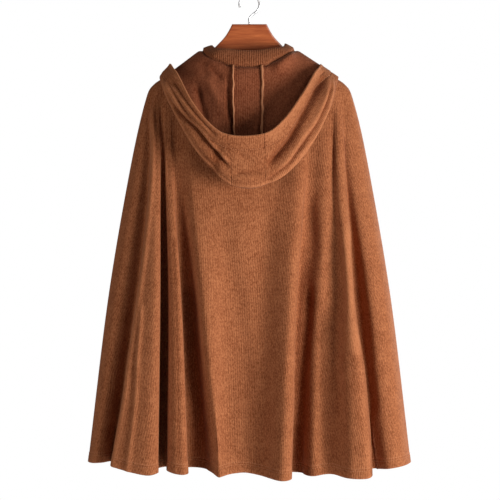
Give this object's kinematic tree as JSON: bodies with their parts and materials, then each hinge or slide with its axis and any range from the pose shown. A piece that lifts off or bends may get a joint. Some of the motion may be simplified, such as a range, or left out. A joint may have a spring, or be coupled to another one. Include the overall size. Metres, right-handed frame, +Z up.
{
  "type": "hooded poncho on a hanger",
  "caption": "Hooded poncho of plain ribbed fleece that hangs in folds to a stitched hem, its hood down at the back, on a wooden hanger with a steel hook.",
  "frame": {"origin": "inside top of the hanger's hook, where a rail carries it", "axes": "+X to the right seen from the garment's back, +Y from its back to its front, +Z up"},
  "size_m": [0.644, 0.2792, 0.9529],
  "materials": {
    "fleece": "soft, finely ribbed",
    "wood": "satin varnish",
    "steel": "polished wire"
  },
  "bodies": {
    "root": {"back": "fleece", "front": "fleece", "neck_band": "fleece", "hood_left": "fleece", "hood_centre": "fleece", "hood_right": "fleece", "seam_ridge_left": "fleece", "seam_ridge_right": "fleece", "hanger": "wood", "hook": "steel"}
  },
  "joints": []
}
